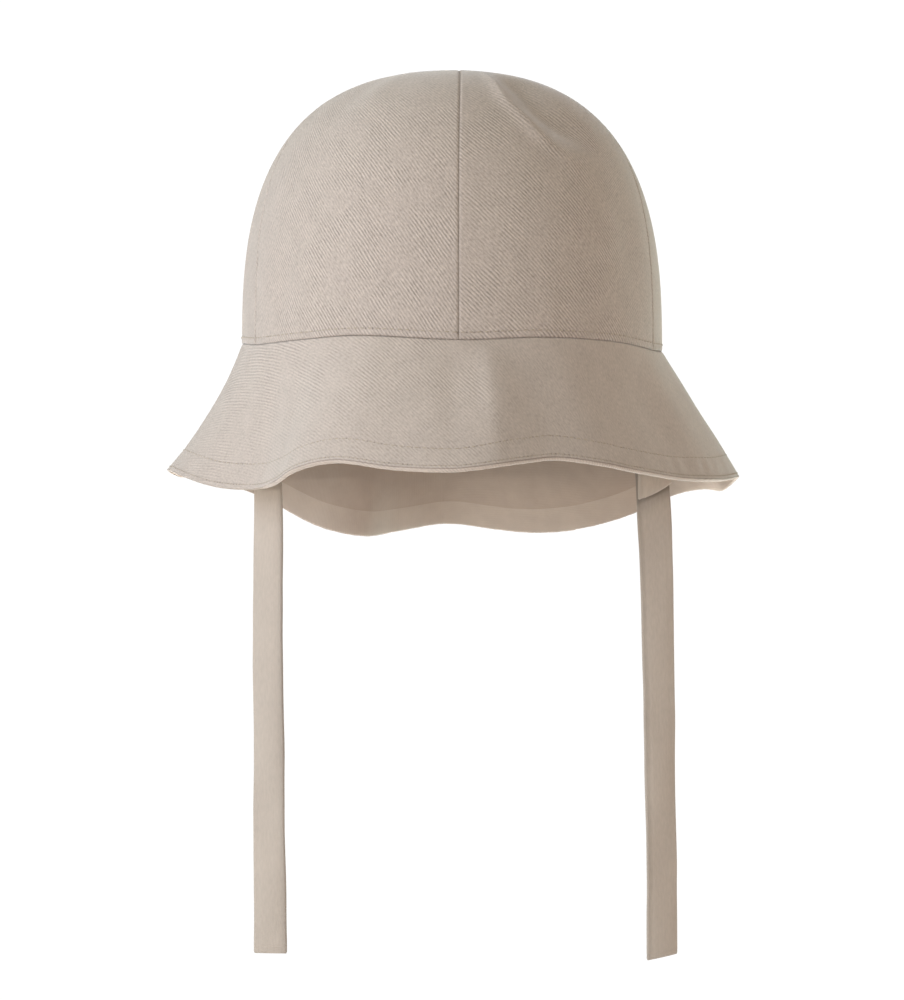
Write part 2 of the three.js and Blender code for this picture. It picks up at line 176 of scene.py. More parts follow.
class SunHatSizes(bpy.types.PropertyGroup):
    head_width: length("Head width", "Across the crown at the brim seam", 0.147)
    head_depth: length("Head depth", "Front to back at the brim seam", 0.168)
    crown_height: length("Crown height", "From the brim seam's side points to the apex", 0.0958)
    crown_roundness: bpy.props.FloatProperty(
        name="Crown roundness", description="2 is an ellipse, more is squarer", default=2.7, min=1.5
    )
    side_seam_forward: length("Side seam forward", "Start of the side seams before the middle", 0.0315)
    seam_wave: length("Seam wave", "How far the brim seam dips below its side points", 0.0042)
    seam_tilt: turn("Seam tilt", "How much the brim seam sinks towards +X", 1)
    dent_depth: length("Dent depth", "Depth of the crown's deepest soft dent", 0.0024)
    cloth_thickness: length("Cloth thickness", "Wall of crown, brim and facing", 0.001)
    brim_front: length("Brim length", "Down the slope at the front and the sides", 0.0498)
    brim_back: length("Brim length behind", "Down the slope over the neck", 0.0606)
    facing_width: length("Facing width", "Height of the stitched band under the brim's edge", 0.009)
    tie_width: length("Tie width", "Width of the tape", 0.0118)
    tie_thickness: length("Tie thickness", "Thickness of the folded tape", 0.0012)
    tie_length: length("Tie length", "Below the brim seam", 0.2073)
    twill_pitch: length("Twill pitch", "From one twill line to the next, square to the lines", 0.00105)
    stitch: length("Stitch length", "From one stitch of the crown to the next", 0.00265)


class SunHatColours(bpy.types.PropertyGroup):
    twill: colour("Twill", "Mean colour of the twill cloth", "#b2a59c")
    tape: colour("Tape", "Mean colour of the tape", "#b5a99e")
    thread: colour("Thread", "Colour of the sewing thread", "#ada090")
    floor: colour("Floor", "Colour of the floor", "#f4f2f0")


# Shapes. Angles round the hat are azimuths in degrees, from the front towards +X.


def smooth(rows, column, place, closed=False):
    """A curve through the rows of a table: between two rows a cubic, whose slope at each row is that of
    the line from the row before to the row after. A closed table repeats every 360 degrees."""
    keys, values = rows[:, 0].astype(float), rows[:, column].astype(float)
    if closed:
        place = keys[0] + (place - keys[0]) % 360
        keys = np.concatenate([keys[-1:] - 360, keys, keys[:2] + 360])
        values = np.concatenate([values[-1:], values, values[:2]])
    else:
        keys = np.concatenate([keys[:1], keys, keys[-1:]])
        values = np.concatenate([values[:1], values, values[-1:]])
    slopes = (values[2:] - values[:-2]) / (keys[2:] - keys[:-2])
    keys, values = keys[1:-1], values[1:-1]
    i = np.clip(np.searchsorted(keys, place, side="right") - 1, 0, len(keys) - 2)
    span = keys[i + 1] - keys[i]
    t = (place - keys[i]) / span
    return (
        (2 * t**3 - 3 * t**2 + 1) * values[i]
        + (t**3 - 2 * t**2 + t) * span * slopes[i]
        + (3 * t**2 - 2 * t**3) * values[i + 1]
        + (t**3 - t**2) * span * slopes[i + 1]
    )


def ripple(place, pitch, seed):
    """Uneven waves of about one pitch, from -1 to 1: three sines of unlike pitch added up."""
    return (
        np.sin(2 * math.pi * place / pitch + seed)
        + 0.7 * np.sin(2 * math.pi * place / (1.62 * pitch) + 2.3 * seed)
        + 0.5 * np.sin(2 * math.pi * place / (0.71 * pitch) + 4.1 * seed)
    ) / 2.2


def unit(vectors):
    return vectors / np.maximum(np.linalg.norm(vectors, axis=-1, keepdims=True), 1e-12)


def seam_point(size, azimuth):
    """The seam of crown and brim: an ellipse round the head that dips by the seam's wave and leans."""
    angle = np.radians(azimuth)
    x = size.head_width / 2 * np.sin(angle)
    y = -size.head_depth / 2 * np.cos(angle)
    wave = size.seam_wave * smooth(SEAM_ROWS, 1, azimuth, closed=True)
    return np.stack([x, y, wave - x * math.tan(size.seam_tilt)], axis=-1)


def outward_at(size, azimuth):
    """The level direction square to the head's ellipse."""
    angle = np.radians(azimuth)
    x, y = size.head_depth * np.sin(angle), -size.head_width * np.cos(angle)
    return unit(np.stack([x, y, 0 * x], axis=-1))


def dome_outline(size, rise):
    """Level and height shares of the dome's outline: a superellipse, from the seam to the apex."""
    angle = rise * math.pi / 2
    across, high = np.maximum(np.cos(angle), 0), np.sin(angle)
    scale = (across**size.crown_roundness + high**size.crown_roundness) ** (-1 / size.crown_roundness)
    return np.where(rise < 1, across * scale, 0), high * scale


def front_seam_azimuth(rise):
    """The front seam drifts to one side by ten degrees, most of it near the apex."""
    return 10 * rise**3.7


def side_seam_azimuth(size, rise):
    """The side seam starts before the hat's middle and leans back to the apex."""
    across, high = dome_outline(size, rise)
    forward = size.side_seam_forward / (size.head_depth / 2) * (1 - high**2.5)
    return np.degrees(np.arccos(np.clip(forward / np.maximum(across, 1e-9), -1, 1)))


def crown_relief(size, azimuth, rise):
    """How far the crown stands out of the plain dome: the soft ridge of the front seam, the dents and the
    parts of the fold as bell shapes round their places, and a slight unevenness of the cloth, none of it
    at the brim seam."""
    ridge = RIDGE_HEIGHT * MM * np.minimum(1, rise / RIDGE_START) * (1 - rise)
    relief = ridge * np.exp(-np.abs(azimuth - front_seam_azimuth(rise)) / RIDGE_REACH)
    for place, height, reach, span, depth in DENT_ROWS:
        bell = np.exp(-(((azimuth - place) / reach) ** 2) - ((rise - height) / span) ** 2)
        relief = relief + size.dent_depth * depth * bell
    from_crest = azimuth - smooth(CREST_ROWS, 1, np.clip(rise, 0.36, 0.8))
    for stand, aside, before, after, height, span in CREST_PARTS:
        off = from_crest - aside
        bell = np.exp(-((off / np.where(off < 0, before, after)) ** 2))
        relief = relief + stand * MM * bell * np.exp(-(((rise - height) / span) ** 4))
    uneven = ripple(azimuth + 30 * rise, 33, 1.1) * ripple(rise - azimuth / 90, 0.37, 2.6)
    relief = relief + 0.28 * MM * uneven * (1 - rise) ** 2
    return relief * (1 - np.exp(-((rise / 0.06) ** 2))) * (1 - rise**4)


def crown_point(size, azimuth, rise):
    """The crown's outer face: the dome's outline over the seam, moved out by the relief."""
    angle = np.radians(azimuth)
    across, high = dome_outline(size, rise)
    seam = seam_point(size, azimuth)
    point = np.stack(
        [seam[..., 0] * across, seam[..., 1] * across, size.crown_height * high + seam[..., 2] * (1 - high)],
        axis=-1,
    )
    facing = unit(np.stack([np.sin(angle) * across, -np.cos(angle) * across, high + 0 * angle], axis=-1))
    return point + facing * crown_relief(size, azimuth, rise)[..., None]


def brim_length(size, azimuth):
    """The brim is longer over the neck."""
    behind = np.maximum(0, -np.cos(np.radians(azimuth)))
    eased = smooth(BRIM_ROWS, 3, azimuth, closed=True) * MM
    return size.brim_front + (size.brim_back - size.brim_front) * behind**2 + eased


def walk_round(size, row=None):
    """Azimuths round the hat and the distance to each from the front, along the brim seam or along a row
    of the brim, a given way above its edge."""
    azimuth = np.linspace(-180, 180, 1441)
    if row is None:
        points = seam_point(size, azimuth)
    else:
        points = brim_point(size, azimuth, brim_length(size, azimuth) - row)
    walk = np.concatenate([[0], np.cumsum(np.linalg.norm(np.diff(points, axis=0), axis=-1))])
    return azimuth, walk - walk[len(walk) // 2]


def brim_relief(size, azimuth, along):
    """How far the brim's cloth stands out of its plain fold: a rolled edge at the seam, light gathers
    under it, a groove at the hem's stitches and small puckers between them and the edge."""
    place = np.interp(azimuth, *walk_round(size))
    below = brim_length(size, azimuth) - along
    hem = size.facing_width - HEM_INSET
    roll = -0.24 * MM * np.exp(-((along / (0.45 * MM)) ** 2))
    gathers = 0.16 * MM * ripple(place, 17 * MM, 0.7) * np.exp(-along / (16 * MM))
    uneven = ripple(place + 0.4 * along, 46 * MM, 1.9) * ripple(along - 0.3 * place, 38 * MM, 0.4)
    groove = -0.14 * MM * np.exp(-(((below - hem) / (0.7 * MM)) ** 2))
    band = np.clip(1 - np.abs(below - 0.55 * hem) / (0.6 * hem), 0, 1)
    pucker = 0.1 * MM + 0.36 * MM * np.exp(-(((azimuth - 58) / 11) ** 2))
    fade = 1 - np.exp(-((along / (4 * MM)) ** 2))
    share = along / brim_length(size, azimuth)
    for fold_place, left, right, middle, span, stand in FOLD_ROWS:
        aside = (azimuth - fold_place + 180) % 360 - 180
        reach = np.where(aside < 0, left, right)
        gathers = gathers + stand * MM * np.exp(-((aside / reach) ** 2) - ((share - middle) / span) ** 2)
    puckers = pucker * band * ripple(place - 0.5 * below, 8 * MM, 3.3)
    return roll + (gathers + 0.3 * MM * uneven) * fade + groove + puckers


def brim_point(size, azimuth, along, inset=0):
    """The brim: from the seam each line bends evenly along an arc, from its starting flare by its curl.
    along is the way down the slope and inset the depth under the outer face."""
    azimuth, along = np.broadcast_arrays(np.asarray(azimuth, float), np.asarray(along, float))
    curl = np.radians(smooth(BRIM_ROWS, 2, azimuth, closed=True))
    start = np.radians(smooth(BRIM_ROWS, 1, azimuth, closed=True)) - curl / 2
    half = curl * along / brim_length(size, azimuth) / 2
    chord = along * np.sinc(half / math.pi)
    slope = start + 2 * half
    depth = inset - brim_relief(size, azimuth, along)
    run = chord * np.sin(start + half) - depth * np.cos(slope)
    drop = chord * np.cos(start + half) + depth * np.sin(slope)
    point = seam_point(size, azimuth) + outward_at(size, azimuth) * run[..., None]
    point[..., 2] -= drop + 0.06 * MM
    return point


def lip_tuck(azimuth):
    """Where the lip of the facing is rolled under, out of sight: the hat's side at -X."""
    return np.clip((-azimuth - 44) / 12, 0, 1) * np.clip((azimuth + 150) / 12, 0, 1)


# Meshes


def crowded(count, ends):
    """Shares from 0 to 1 that stand closer together at the start, or at both ends."""
    t = np.linspace(0, 1, count)
    if ends == "both":
        return t - 0.8 * np.sin(2 * math.pi * t) / (2 * math.pi)
    return t - 0.78 * np.sin(math.pi * t) / math.pi


def normals_of(grid):
    """Unit normals of a grid of points: across times up, from the neighbours on both sides."""
    return unit(np.cross(np.gradient(grid, axis=1), np.gradient(grid, axis=0)))


def add_piece(name, points, faces, maps, materials, finish=None):
    """A mesh piece that rides on the hat. faces index the points, each map gives every face corner its
    two coordinates, and finish is each face's place in the materials."""
    mesh = bpy.data.meshes.new(name)
    mesh.from_pydata(points.reshape(-1, 3).tolist(), [], [f for block in faces for f in block.tolist()])
    for map_name, corners in maps.items():
        layer = mesh.uv_layers.new(name=map_name)
        layer.uv.foreach_set("vector", np.ascontiguousarray(corners, np.float32).ravel())
    mesh.update()
    mesh.calc_loop_triangles()
    corner = np.zeros(len(mesh.loop_triangles) * 3, np.int32)
    mesh.loop_triangles.foreach_get("vertices", corner)
    a, b, c = np.moveaxis(points.reshape(-1, 3)[corner.reshape(-1, 3)], 1, 0)
    if np.einsum("ij,ij->", a, np.cross(b, c)) < 0:
        mesh.flip_normals()
    mesh.shade_smooth()
    for material in materials:
        mesh.materials.append(material)
    if finish is not None:
        mesh.polygons.foreach_set("material_index", np.ascontiguousarray(finish, np.int32))
    piece = bpy.data.objects.new(name, mesh)
    bpy.context.collection.objects.link(piece)
    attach(piece, "root")
    return piece


def grid_faces(rows, columns):
    """Four-cornered faces of a grid, seen with columns to the right and rows upwards."""
    at = np.arange(rows * columns).reshape(rows, columns)
    return np.stack([at[:-1, :-1], at[:-1, 1:], at[1:, 1:], at[1:, :-1]], axis=-1).reshape(-1, 4)


def ring_piece(name, rings, maps, materials, closed, good_side=None):
    """A body swept through rings of points. Each ring closes on itself, and the rings close on the
    first one, or each end gets a cap. Maps have one more point along each closed way than the rings.
    good_side gives the stretch of each ring that has the first material."""
    count, around = rings.shape[:2]
    rows, columns = count + (1 if closed else 0), around + 1
    wide = grid_faces(rows, columns)
    row, column = np.divmod(wide, columns)
    faces = [(row % count) * around + column % around]
    corners = {key: [value.reshape(-1, 2)[wide.ravel()]] for key, value in maps.items()}
    if not closed:
        for end in (0, count - 1):
            cap = np.arange(around)[:: -1 if end == 0 else 1]
            faces.append((end * around + cap)[None, :])
            for key, value in maps.items():
                corners[key].append(value.reshape(rows, columns, 2)[end, cap])
    maps = {key: np.concatenate(value) for key, value in corners.items()}
    finish = None
    if good_side:
        start = column[:, 0]
        finish = np.where((start >= good_side[0]) & (start < good_side[1]), 0, 1)
    return add_piece(name, rings, faces, maps, materials, finish)


def along_twill(x, y, slope):
    """Places on flat cloth as ways across and along the twill lines, in millimetres."""
    angle = math.radians(slope)
    across, down = x * math.sin(angle) + y * math.cos(angle), x * math.cos(angle) - y * math.sin(angle)
    return np.stack([across, down], axis=-1) / MM


def crown_panel(size, name, from_seam, to_seam, slope, grain, away, columns, materials):
    """One panel: a grid between its two seams, rolled inwards along its edges, with an inner face one
    wall deeper. Its cloth runs level along each row, and the twill lines slope across it. grain is the
    share of the width at which the cloth's own upright thread runs."""
    rows = PANEL_ROWS
    rise = crowded(rows, "start")[:, None]
    share = crowded(columns, "both")[None, :]
    azimuth = from_seam(rise) * (1 - share) + to_seam(rise) * share
    outer = crown_point(size, azimuth, np.broadcast_to(rise, azimuth.shape))
    level = np.linalg.norm(np.diff(outer, axis=1), axis=-1)
    walk = np.concatenate([np.zeros((rows, 1)), np.cumsum(level, axis=1)], axis=1)
    climb = np.linalg.norm(np.diff(outer, axis=0), axis=-1)
    height = np.concatenate([np.zeros((1, columns)), np.cumsum(climb, axis=0)], axis=0)
    normal = normals_of(outer)
    normal[-1] = (0, 0, 1)
    edge = np.minimum(walk, walk[:, -1:] - walk)
    roll = 0.32 * MM * (np.exp(-((edge / (0.45 * MM)) ** 2)) + np.exp(-((height / (0.45 * MM)) ** 2)))
    pucker = 0.1 * MM * ripple(height, 9 * MM, slope) * np.exp(-edge / (4 * MM)) * np.exp(-rise)
    gather = 0.1 * MM * ripple(walk, 11 * MM, slope) * np.exp(-height / (5 * MM))
    outer = outer + normal * (pucker + gather - np.minimum(roll, 0.34 * MM))[..., None]
    inner = outer - normal * (size.cloth_thickness - np.minimum(roll, 0.3 * MM))[..., None]
    outer[-1], inner[-1] = outer[-1, 0], inner[-1, 0]
    points = np.concatenate([outer, inner[:, ::-1]], axis=1) + np.array([*away, 0]) * 0.05 * MM
    flat_x, flat_y = walk - walk[:, -1:] * grain, height.mean(axis=1, keepdims=True)
    stitches = np.interp(azimuth, *walk_round(size)) / size.stitch
    maps = {
        "cloth": along_twill(flat_x, flat_y, slope),
        "topstitch": np.stack([stitches, (height - TOPSTITCH_RISE) / MM], axis=-1),
        # Ways in from the panel's side edges and up from the brim seam, for the painted shade of the seams
        "seam": np.stack([edge, height], axis=-1) / MM,
    }
    maps = {key: both_faces(value) for key, value in maps.items()}
    around = 2 * columns
    wide = grid_faces(rows, around + 1)
    row, column = np.divmod(wide, around + 1)
    index = row * around + column % around
    apex = (rows - 1) * around
    index = np.where(index >= apex + columns, apex + columns, np.where(index >= apex, apex, index))
    top = row[:, 2] == rows - 1
    left = np.arange(columns - 1)
    base = np.stack([around - 1 - left, around - 2 - left, left + 1, left], axis=-1)
    keep = top & (index[:, 2] == index[:, 3])
    sides = top & ~keep
    faces = [index[~top], index[keep][:, [0, 1, 2]], index[sides], base]
    corners = {
        key: np.concatenate([
            value.reshape(-1, 2)[wide[~top].ravel()],
            value.reshape(-1, 2)[wide[keep][:, [0, 1, 2]].ravel()],
            value.reshape(-1, 2)[wide[sides].ravel()],
            value[0, base.ravel()],
        ])
        for key, value in maps.items()
    }
    reverse = column[:, 0] >= columns - 1
    finish = np.concatenate([reverse[~top], reverse[keep], reverse[sides], np.ones(columns - 1, bool)])
    used, flat = np.unique(np.concatenate([f.ravel() for f in faces]), return_inverse=True)
    sizes = [f.size for f in faces]
    blocks = np.split(flat, np.cumsum(sizes)[:-1])
    faces = [block.reshape(-1, f.shape[1]) for block, f in zip(blocks, faces)]
    points = points.reshape(-1, 3)[used]
    panel = add_piece(name + "_cloth", points, faces, corners, materials, finish)
    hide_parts(name)
    return panel


def both_faces(value):
    """A map of an outer face, carried on over the inner face behind it and closed."""
    return np.concatenate([value, value[:, ::-1], value[:, :1]], axis=1)


def brim_cloth_map(size, azimuth, along):
    """The brim is cut as part of a flat ring, so the twill lines turn slowly as it goes round the head."""
    turned = np.interp(azimuth, *walk_round(size)) / RING_RADIUS
    radius = RING_RADIUS + along
    return along_twill(radius * np.sin(turned), -radius * np.cos(turned), BRIM_SLOPE)


def thread_row(name, centres, along, outward, span, width, height, material):
    """Stitches: each a short thread, round in section and thinner at its ends, that rises from the cloth
    in a low arc and dips back in. Its surface is a ring carried along the stitch."""
    t = np.array([-1, -0.82, -0.45, 0, 0.45, 0.82, 1])
    thick = np.array([0.4, 0.8, 1, 1, 1, 0.8, 0.4])
    angle = np.arange(6) * math.pi / 3
    side = unit(np.cross(outward, along))
    middle = (
        centres[:, None, :]
        + along[:, None, :] * (t * span / 2)[None, :, None]
        + outward[:, None, :] * (height * (1 - t**2) - 0.35 * height)[None, :, None]
    )
    section = thick[:, None] * width / 2 * np.stack([np.cos(angle), np.sin(angle)])[:, None, :]
    ring = side[:, None, None, :] * section[0][..., None] + outward[:, None, None, :] * section[1][..., None]
    points = middle[:, :, None, :] + ring
    count, stations, around = points.shape[:3]
    wide = grid_faces(stations, around + 1)
    row, column = np.divmod(wide, around + 1)
    tube = row * around + column % around
    caps = np.stack([np.arange(around)[::-1], (stations - 1) * around + np.arange(around)])
    start = (np.arange(count) * stations * around)[:, None, None]
    faces = [(tube[None] + start).reshape(-1, 4), (caps[None] + start).reshape(-1, around)]
    return add_piece(name, points, faces, {}, [material])


def stitches_on(azimuths, walk, pitch):
    """The azimuths halfway between whole numbers of stitches along a row."""
    last = math.floor(walk[-1] / pitch)
    return np.interp((np.arange(-last, last) + 0.5) * pitch, walk, azimuths)


# Materials


def add_node(tree, kind, inputs=None, **settings):
    """Adds a shader node, sets its settings, and sets each input to a value or links it to a socket.
    Returns the node's outputs."""
    node = tree.nodes.new("ShaderNode" + kind)
    for key, value in settings.items():
        setattr(node, key, value)
    for key, value in (inputs or {}).items():
        if isinstance(value, bpy.types.NodeSocket):
            tree.links.new(value, node.inputs[key])
        else:
            node.inputs[key].default_value = value
    return node.outputs


def new_material(name, surface):
    """A material, its node tree and its surface shader, with the surface's plain values set."""
    material = bpy.data.materials.new(name)
    material.use_nodes = True
    tree = material.node_tree
    shader = tree.nodes["Principled BSDF"]
    for key, value in surface.items():
        shader.inputs[key].default_value = value
    return material, tree, shader


def shades(base, spread):
    """A darker and a lighter shade of a linear colour, the given share away from it on either side."""
    base = np.array(base)[:3]
    return [*(base * (1 - spread)), 1], [*np.minimum(base * (1 + spread), 1), 1]


def cotton_twill(name, size, base, relief, stitch_maps, seam, smoothed):
    """Light cotton twill, woven in fine diagonal ribs and washed soft. The eye gets ribs one pitch apart
    with short breaks where the yarns dip, a faint cloudiness from uneven dye, and a matt, slightly
    fuzzy surface that lightens where it turns away. relief is how strongly the ribs show, and smoothed
    lists where they are pressed flat: axis, start and end in millimetres, share left over. Stitch maps
    add a small pit at both ends of each stitch, uneven as a sewn row is, with painted shade in each pit,
    and the seam map a line of painted shade where two pieces of cloth meet, as dark as seam says."""
    material, tree, shader = new_material(name, {
        "IOR": 1.45, "Specular IOR Level": 0.25, "Sheen Weight": 0.5, "Sheen Roughness": 0.4,
    })
    uv = add_node(tree, "UVMap", uv_map="cloth")["UV"]
    lumps = {}
    # Size of the lumps across and along the twill lines in mm, detail, roughness
    for key, across, down, detail, roughness in (
        ("wander", 5, 14, 1, 0.5), ("yarn", 0.6, 1.5, 2, 0.6), ("cloud", 7, 9, 3, 0.6),
        ("worn", 17, 13, 2, 0.5),
    ):
        at = add_node(tree, "Mapping", {"Vector": uv, "Scale": (1 / across, 1 / down, 1)})[0]
        lumps[key] = add_node(
            tree, "TexNoise", {"Vector": at, "Scale": 1.0, "Detail": detail, "Roughness": roughness},
            noise_dimensions="2D",
        )["Fac"]
    wander = add_node(tree, "Math", {0: lumps["wander"], 1: 0.9, 2: -0.45}, operation="MULTIPLY_ADD")[0]
    way = add_node(tree, "SeparateXYZ", {0: uv})["X"]
    way = add_node(tree, "Math", {0: way, 1: wander}, operation="ADD")[0]
    turns = 2 * math.pi / (size.twill_pitch / MM)
    phase = add_node(tree, "Math", {0: way, 1: turns}, operation="MULTIPLY")[0]
    rib = add_node(tree, "Math", {0: phase}, operation="SINE")[0]
    yarn, cloud = (
        add_node(tree, "Math", {0: lumps[key], 1: 2.0, 2: -1.0}, operation="MULTIPLY_ADD")[0]
        for key in ("yarn", "cloud")
    )
    worn = add_node(tree, "MapRange", {
        "Value": lumps["worn"], "From Min": 0.36, "From Max": 0.58, "To Min": 0.3, "To Max": 1.25,
    })[0]
    sides = add_node(tree, "SeparateXYZ", {0: add_node(tree, "TexCoord")["Object"]})
    for axis, start, end, left_over in smoothed:
        reach = {"From Min": start * MM, "From Max": end * MM, "To Min": 1.0, "To Max": left_over}
        pressed = add_node(
            tree, "MapRange", {"Value": sides[axis], **reach}, interpolation_type="SMOOTHSTEP"
        )[0]
        worn = add_node(tree, "Math", {0: worn, 1: pressed}, operation="MULTIPLY")[0]
    rib = add_node(tree, "Math", {0: rib, 1: worn}, operation="MULTIPLY")[0]
    tone = 0.5
    for pattern, strength in ((rib, 0.24 * relief), (yarn, 0.46 * relief), (cloud, 0.12)):
        tone = add_node(tree, "Math", {0: pattern, 1: strength, 2: tone}, operation="MULTIPLY_ADD")[0]
    height = add_node(tree, "Math", {0: yarn, 1: 0.6}, operation="MULTIPLY")[0]
    height = add_node(tree, "Math", {0: rib, 1: 0.5, 2: height}, operation="MULTIPLY_ADD")[0]
    shade = pits = 0.0
    for stitch_map in stitch_maps:
        pitch = (EDGE_PITCH if stitch_map == "edge_stitch" else size.stitch) / MM
        parts = add_node(tree, "SeparateXYZ", {0: add_node(tree, "UVMap", uv_map=stitch_map)["UV"]})
        beside = add_node(tree, "Math", {0: parts["X"], 1: 0.5}, operation="PINGPONG")[0]
        beside = add_node(tree, "Math", {0: beside, 1: pitch / 0.42}, operation="MULTIPLY")[0]
        over = add_node(tree, "Math", {0: parts["Y"], 1: 1 / 0.34}, operation="MULTIPLY")[0]
        over = add_node(tree, "Math", {0: over, 1: over}, operation="MULTIPLY")[0]
        away = add_node(tree, "Math", {0: beside, 1: beside, 2: over}, operation="MULTIPLY_ADD")[0]
        away = add_node(tree, "Math", {0: away}, operation="SQRT")[0]
        reach = {"From Min": 0.4, "From Max": 1.25, "To Min": 1.0, "To Max": 0.0}
        pit = add_node(tree, "MapRange", {"Value": away, **reach}, interpolation_type="SMOOTHSTEP")[0]
        along = add_node(tree, "Math", {0: parts["X"], 1: 0.31}, operation="MULTIPLY")[0]
        uneven = {"W": along, "Scale": 1.0, "Detail": 3.0}
        uneven = add_node(tree, "TexNoise", uneven, noise_dimensions="1D")["Fac"]
        reach = {"From Min": 0.38, "From Max": 0.62, "To Min": 0.15}
        shown = add_node(tree, "MapRange", {"Value": uneven, **reach})[0]
        pit = add_node(tree, "Math", {0: pit, 1: shown}, operation="MULTIPLY")[0]
        pits = add_node(tree, "Math", {0: pits, 1: pit}, operation="MAXIMUM")[0]
    # Each pit sinks into the bump and gets painted shade in its colour
    if stitch_maps:
        height = add_node(tree, "Math", {0: pits, 1: -2.2, 2: height}, operation="MULTIPLY_ADD")[0]
        shade = add_node(tree, "Math", {0: pits, 1: 0.5}, operation="MULTIPLY")[0]
    # Painted shade in the groove of each seam: a dark line along both ways of the seam map
    if seam:
        parts = add_node(tree, "SeparateXYZ", {0: add_node(tree, "UVMap", uv_map="seam")["UV"]})
        for key, reach in (("X", 0.34), ("Y", 0.26)):
            line = add_node(tree, "MapRange", {
                "Value": parts[key], "From Min": 0.1, "From Max": reach, "To Min": seam, "To Max": 0.0,
            })[0]
            shade = add_node(tree, "Math", {0: shade, 1: line}, operation="MAXIMUM")[0]
    dark, light = shades(base, 0.38)
    mixed = add_node(tree, "Mix", {0: tone, 6: dark, 7: light}, data_type="RGBA")[2]
    if stitch_maps or seam:
        deep = shades(base, 0.75)[0]
        mixed = add_node(tree, "Mix", {0: shade, 6: mixed, 7: deep}, data_type="RGBA")[2]
    bump = add_node(tree, "Bump", {"Height": height, "Strength": 0.6 * relief, "Distance": 0.14 * MM})[0]
    rough = add_node(tree, "Math", {0: rib, 1: -0.05, 2: 0.88}, operation="MULTIPLY_ADD")[0]
    for key, socket in (("Base Color", mixed), ("Normal", bump), ("Roughness", rough)):
        tree.links.new(socket, shader.inputs[key])
    return material


def cotton_tape(colours):
    """Plain cotton tape, folded lengthwise and pressed. The eye gets a smooth matt band whose weave is
    too fine to show, drawn as a faint grain along it, painted shade along the inner edge, which turns
    away from the light, and the pleat's painted shadow on the tape under it."""
    material, tree, shader = new_material("plain cotton tape", {
        "Roughness": 0.85, "IOR": 1.45, "Specular IOR Level": 0.25,
        "Sheen Weight": 0.2, "Sheen Roughness": 0.5,
    })
    uv = add_node(tree, "UVMap", uv_map="cloth")["UV"]
    tone, lumps = 0.15, []
    # Size of the lumps across and along the tape in mm, strength
    for across, down, strength in ((0.5, 2.5, 0.4), (9, 24, 0.3)):
        at = add_node(tree, "Mapping", {"Vector": uv, "Scale": (1 / across, 1 / down, 1)})[0]
        fac = {"Vector": at, "Scale": 1.0, "Detail": 2.0}
        fac = add_node(tree, "TexNoise", fac, noise_dimensions="2D")["Fac"]
        tone = add_node(tree, "Math", {0: fac, 1: strength, 2: tone}, operation="MULTIPLY_ADD")[0]
        lumps.append(fac)
    dark, light = shades(colours.tape, 0.22)
    mixed = add_node(tree, "Mix", {0: tone, 6: dark, 7: light}, data_type="RGBA")[2]
    ways = add_node(tree, "SeparateXYZ", {0: add_node(tree, "UVMap", uv_map="shade")["UV"]})
    deep = shades(colours.tape, 0.7)[0]
    # Painted shade along the inner edge, and the pleat's painted shadow below it: way, reach, depth
    for key, reach, depth in (("X", 2.6, 0.2), ("Y", 2.6, 0.5), ("Y", 9.0, 0.3)):
        shade = add_node(
            tree, "MapRange",
            {"Value": ways[key], "From Min": 0.2, "From Max": reach, "To Min": depth, "To Max": 0.0},
            interpolation_type="SMOOTHERSTEP",
        )[0]
        mixed = add_node(tree, "Mix", {0: shade, 6: mixed, 7: deep}, data_type="RGBA")[2]
    bump = add_node(tree, "Bump", {"Height": lumps[0], "Strength": 0.4, "Distance": 0.08 * MM})[0]
    tree.links.new(mixed, shader.inputs["Base Color"])
    tree.links.new(bump, shader.inputs["Normal"])
    return material


def sewing_thread(colours):
    """Spun polyester thread in the cloth's colour, with a faint sheen and a fine twist that is too small
    to show, drawn as a slight change of tone every half millimetre."""
    surface = {"Roughness": 0.6, "IOR": 1.5, "Specular IOR Level": 0.4}
    material, tree, shader = new_material("spun sewing thread", surface)
    place = add_node(tree, "TexCoord")["Object"]
    twist = add_node(tree, "TexNoise", {"Vector": place, "Scale": 2000.0, "Detail": 1.0})["Fac"]
    dark, light = shades(colours.thread, 0.2)
    mixed = add_node(tree, "Mix", {0: twist, 6: dark, 7: light}, data_type="RGBA")[2]
    tree.links.new(mixed, shader.inputs["Base Color"])
    return material


def twill_of(name, relief, tint, stitch_maps=(), seam=0, smoothed=()):
    """The twill with this name, made at its first use. tint is its share of the twill's mean colour."""
    scene = bpy.context.scene
    base = np.array(scene.sun_hat_colours.twill)[:3] * tint
    return bpy.data.materials.get(name) or cotton_twill(
        name, scene.sun_hat_sizes, base, relief, stitch_maps, seam, smoothed
    )


# Operators


